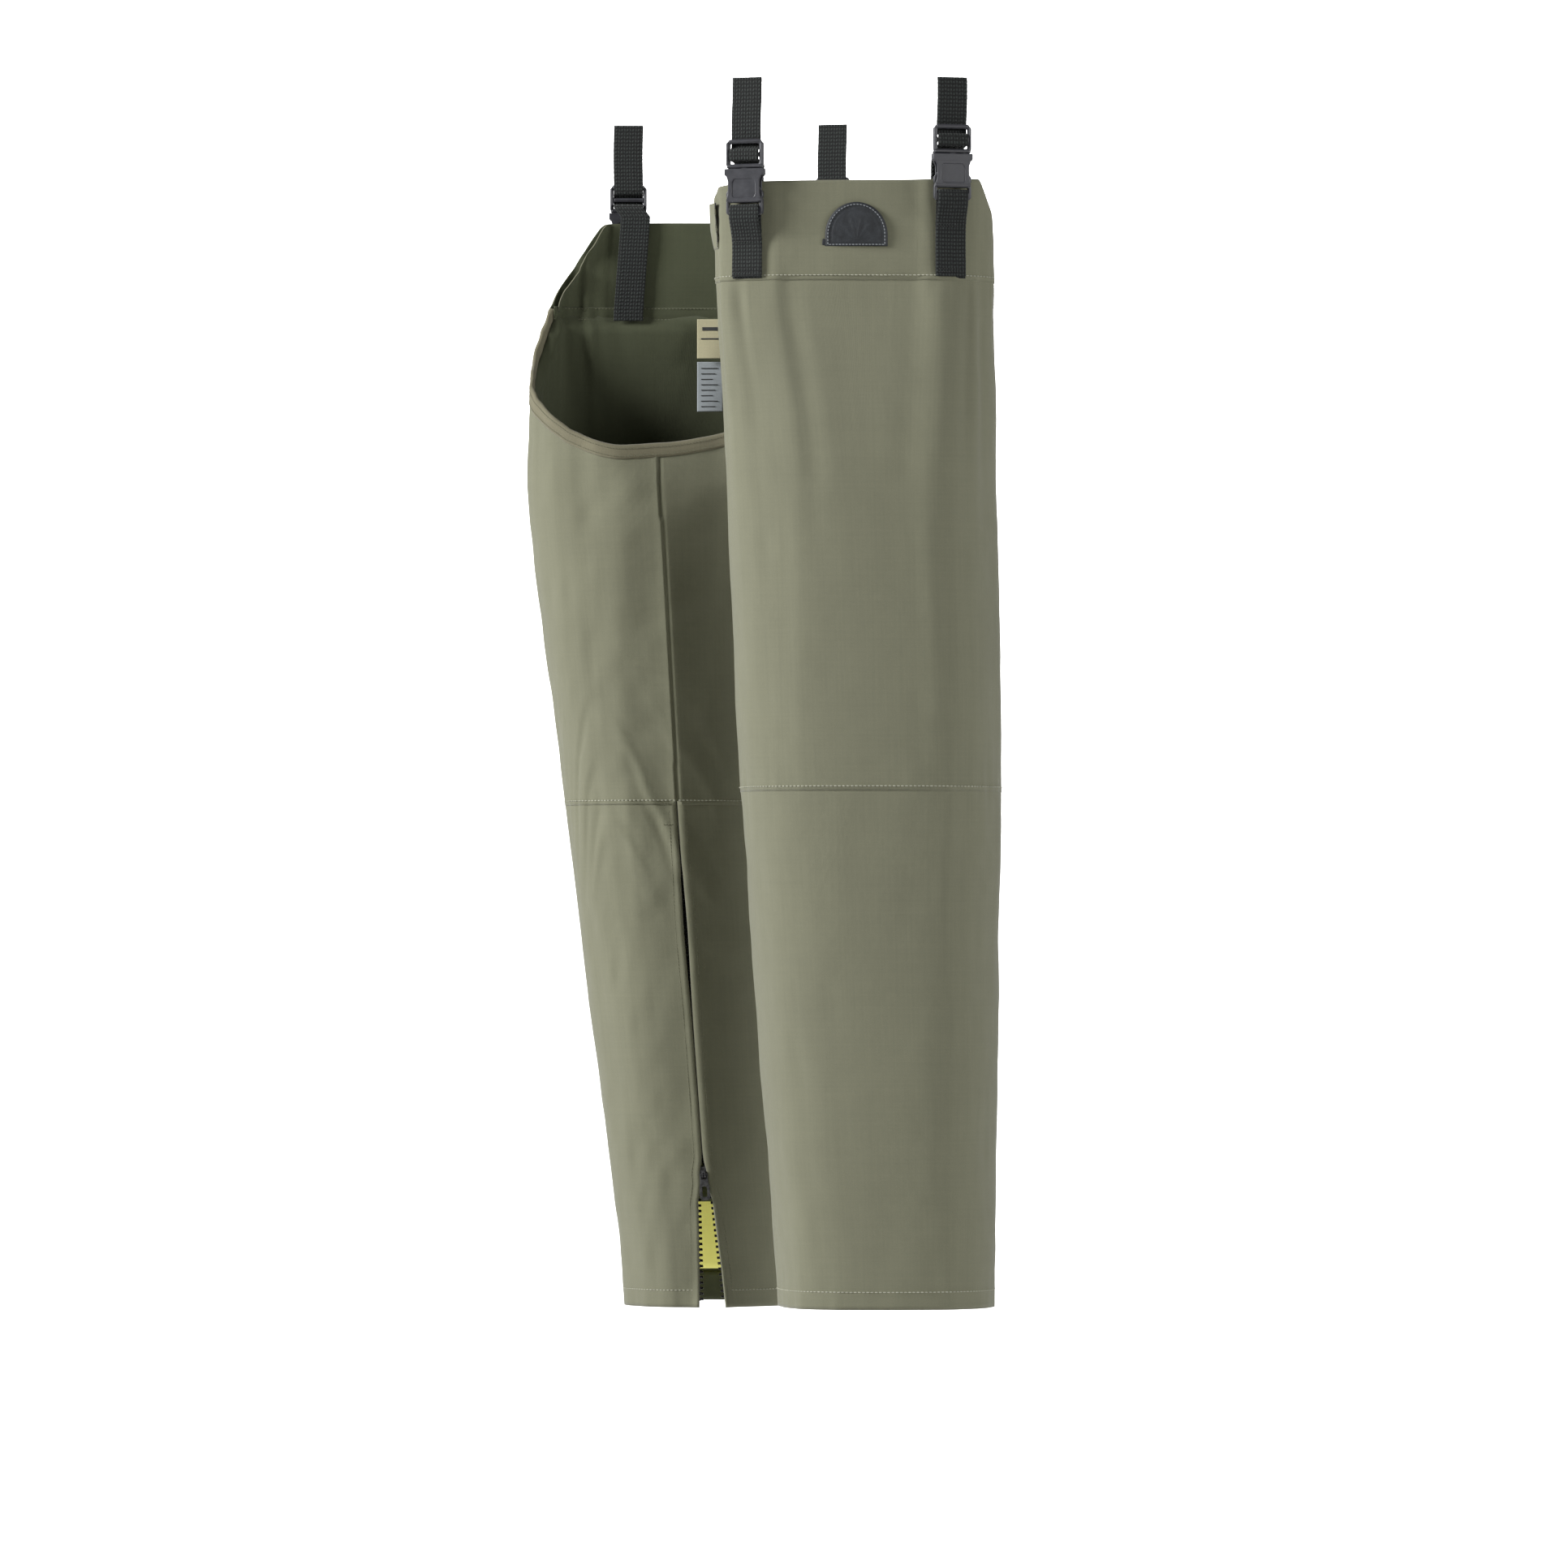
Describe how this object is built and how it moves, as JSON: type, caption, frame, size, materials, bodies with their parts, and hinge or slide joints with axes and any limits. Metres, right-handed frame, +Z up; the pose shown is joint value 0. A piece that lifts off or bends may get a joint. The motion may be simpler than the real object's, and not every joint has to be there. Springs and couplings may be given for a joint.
{
  "type": "chainsaw chaps",
  "caption": "Pair of full-wrap protective leg chaps, each hung by two webbing straps with side-release ladder buckles, with a scooped back and a zip up the calf.",
  "frame": {"origin": "the belt line: midway between the two legs, level with the top of the left leg's webbing tails", "axes": "+Z up along the legs; the left leg's front faces -Y with its outseam at +X; the right leg stands behind it and faces +Y"},
  "size_m": [0.395, 0.382, 1.011],
  "materials": {
    "shell_cloth": "matte woven nylon, olive",
    "inner_cloth": "matte woven lining, dark olive",
    "protective_liner": "matte quilted cut-retardant pad, yellow",
    "binding": "matte folded tape, brown olive",
    "webbing": "ribbed webbing, near black",
    "buckle_plastic": "fine moulded, dark grey",
    "leather": "embossed leather, charcoal",
    "zip_tape": "woven tape, black olive",
    "zip_teeth": "moulded, black",
    "zip_metal": "dark enamelled, worn",
    "size_label": "woven satin, cream, blank",
    "care_label": "printed satin, grey white, blank lines"
  },
  "bodies": {
    "left_leg": {"left_thigh_shell": "shell_cloth", "left_shin_shell": "shell_cloth", "left_yoke": "shell_cloth", "left_yoke_facing": "inner_cloth", "left_scoop_binding": "binding", "left_protective_liner": "protective_liner", "left_hem_facing": "inner_cloth", "left_zip_tape_inseam": "zip_tape", "left_zip_teeth_inseam": "zip_teeth", "left_zip_tape_outseam": "zip_tape", "left_zip_teeth_outseam": "zip_teeth", "left_zip_top_stop": "zip_metal", "left_inseam_outer_strap": "webbing", "left_inseam_buckle_female": "buckle_plastic", "left_outseam_outer_strap": "webbing", "left_outseam_buckle_female": "buckle_plastic", "left_leather_patch": "leather"},
    "right_leg": {"right_thigh_shell": "shell_cloth", "right_shin_shell": "shell_cloth", "right_yoke": "shell_cloth", "right_yoke_facing": "inner_cloth", "right_scoop_binding": "binding", "right_protective_liner": "protective_liner", "right_hem_facing": "inner_cloth", "right_zip_tape_inseam": "zip_tape", "right_zip_teeth_inseam": "zip_teeth", "right_zip_tape_outseam": "zip_tape", "right_zip_teeth_outseam": "zip_teeth", "right_zip_top_stop": "zip_metal", "right_inseam_outer_strap": "webbing", "right_inseam_buckle_female": "buckle_plastic", "right_outseam_outer_strap": "webbing", "right_outseam_buckle_female": "buckle_plastic", "right_size_label": "size_label", "right_care_label": "care_label"},
    "left_inseam_male": {"left_inseam_buckle_male": "buckle_plastic", "left_inseam_inner_strap": "webbing"},
    "left_inseam_arm_a": {"left_inseam_buckle_arm_a": "buckle_plastic"},
    "left_inseam_arm_b": {"left_inseam_buckle_arm_b": "buckle_plastic"},
    "left_outseam_male": {"left_outseam_buckle_male": "buckle_plastic", "left_outseam_inner_strap": "webbing"},
    "left_outseam_arm_a": {"left_outseam_buckle_arm_a": "buckle_plastic"},
    "left_outseam_arm_b": {"left_outseam_buckle_arm_b": "buckle_plastic"},
    "left_zip_slider": {"left_zip_slider": "zip_metal"},
    "left_zip_pull": {"left_zip_pull": "zip_metal"},
    "right_inseam_male": {"right_inseam_buckle_male": "buckle_plastic", "right_inseam_inner_strap": "webbing"},
    "right_inseam_arm_a": {"right_inseam_buckle_arm_a": "buckle_plastic"},
    "right_inseam_arm_b": {"right_inseam_buckle_arm_b": "buckle_plastic"},
    "right_outseam_male": {"right_outseam_buckle_male": "buckle_plastic", "right_outseam_inner_strap": "webbing"},
    "right_outseam_arm_a": {"right_outseam_buckle_arm_a": "buckle_plastic"},
    "right_outseam_arm_b": {"right_outseam_buckle_arm_b": "buckle_plastic"},
    "right_zip_slider": {"right_zip_slider": "zip_metal"},
    "right_zip_pull": {"right_zip_pull": "zip_metal"}
  },
  "joints": [
    {"name": "right_leg_along_belt", "type": "slide", "parent": "left_leg", "child": "right_leg", "axis": [1, 0, 0], "range_m": [-0.06, 0.06]},
    {"name": "left_inseam_release", "type": "slide", "parent": "left_leg", "child": "left_inseam_male", "axis": [0, 0, 1], "range_m": [0, 0.025]},
    {"name": "left_inseam_arm_a_flex", "type": "hinge", "parent": "left_inseam_male", "child": "left_inseam_arm_a", "pos_m": [-0.0405, -0.16309, -0.0752], "axis": [-0.3043, -0.9526, 0], "range_deg": [0, 18]},
    {"name": "left_inseam_arm_b_flex", "type": "hinge", "parent": "left_inseam_male", "child": "left_inseam_arm_b", "pos_m": [-0.02317, -0.16863, -0.0752], "axis": [0.3043, 0.9526, 0], "range_deg": [0, 18]},
    {"name": "left_outseam_release", "type": "slide", "parent": "left_leg", "child": "left_outseam_male", "axis": [0, 0, 1], "range_m": [0, 0.025]},
    {"name": "left_outseam_arm_a_flex", "type": "hinge", "parent": "left_outseam_male", "child": "left_outseam_arm_a", "pos_m": [0.12813, -0.17026, -0.0632], "axis": [0.2149, -0.9766, 0], "range_deg": [0, 18]},
    {"name": "left_outseam_arm_b_flex", "type": "hinge", "parent": "left_outseam_male", "child": "left_outseam_arm_b", "pos_m": [0.14591, -0.16635, -0.0632], "axis": [-0.2149, 0.9766, 0], "range_deg": [0, 18]},
    {"name": "left_zip_travel", "type": "slide", "parent": "left_leg", "child": "left_zip_slider", "axis": [-0.0306, 0.0236, 0.9993], "range_m": [0, 0.285]},
    {"name": "left_pull_swing", "type": "hinge", "parent": "left_zip_slider", "child": "left_zip_pull", "pos_m": [0.08057, -0.02686, -0.89108], "axis": [0.9995, 0, 0.0306], "range_deg": [0, 150]},
    {"name": "right_inseam_release", "type": "slide", "parent": "right_leg", "child": "right_inseam_male", "axis": [0, 0, 1], "range_m": [0, 0.025]},
    {"name": "right_inseam_arm_a_flex", "type": "hinge", "parent": "right_inseam_male", "child": "right_inseam_arm_a", "pos_m": [-0.12385, 0.15102, -0.0832], "axis": [-0.0185, 0.9998, 0], "range_deg": [0, 18]},
    {"name": "right_inseam_arm_b_flex", "type": "hinge", "parent": "right_inseam_male", "child": "right_inseam_arm_b", "pos_m": [-0.14205, 0.15069, -0.0832], "axis": [0.0185, -0.9998, 0], "range_deg": [0, 18]},
    {"name": "right_outseam_release", "type": "slide", "parent": "right_leg", "child": "right_outseam_male", "axis": [0, 0, 1], "range_m": [0, 0.025]},
    {"name": "right_outseam_arm_a_flex", "type": "hinge", "parent": "right_outseam_male", "child": "right_outseam_arm_a", "pos_m": [0.05043, 0.14047, -0.0772], "axis": [0.2351, 0.972, 0], "range_deg": [0, 18]},
    {"name": "right_outseam_arm_b_flex", "type": "hinge", "parent": "right_outseam_male", "child": "right_outseam_arm_b", "pos_m": [0.03274, 0.14475, -0.0772], "axis": [-0.2351, -0.972, 0], "range_deg": [0, 18]},
    {"name": "right_zip_travel", "type": "slide", "parent": "right_leg", "child": "right_zip_slider", "axis": [-0.0729, -0.0188, 0.9972], "range_m": [0, 0.285]},
    {"name": "right_pull_swing", "type": "hinge", "parent": "right_zip_slider", "child": "right_zip_pull", "pos_m": [-0.06718, 0.01739, -0.89907], "axis": [-0.9973, 0, -0.0729], "range_deg": [0, 150]}
  ],
  "couplings": [
    {"joint": "left_inseam_arm_a_flex", "follows": "left_inseam_release", "rad_per_m": 12.5},
    {"joint": "left_inseam_arm_b_flex", "follows": "left_inseam_release", "rad_per_m": 12.5},
    {"joint": "left_outseam_arm_a_flex", "follows": "left_outseam_release", "rad_per_m": 12.5},
    {"joint": "left_outseam_arm_b_flex", "follows": "left_outseam_release", "rad_per_m": 12.5},
    {"joint": "right_inseam_arm_a_flex", "follows": "right_inseam_release", "rad_per_m": 12.5},
    {"joint": "right_inseam_arm_b_flex", "follows": "right_inseam_release", "rad_per_m": 12.5},
    {"joint": "right_outseam_arm_a_flex", "follows": "right_outseam_release", "rad_per_m": 12.5},
    {"joint": "right_outseam_arm_b_flex", "follows": "right_outseam_release", "rad_per_m": 12.5}
  ]
}
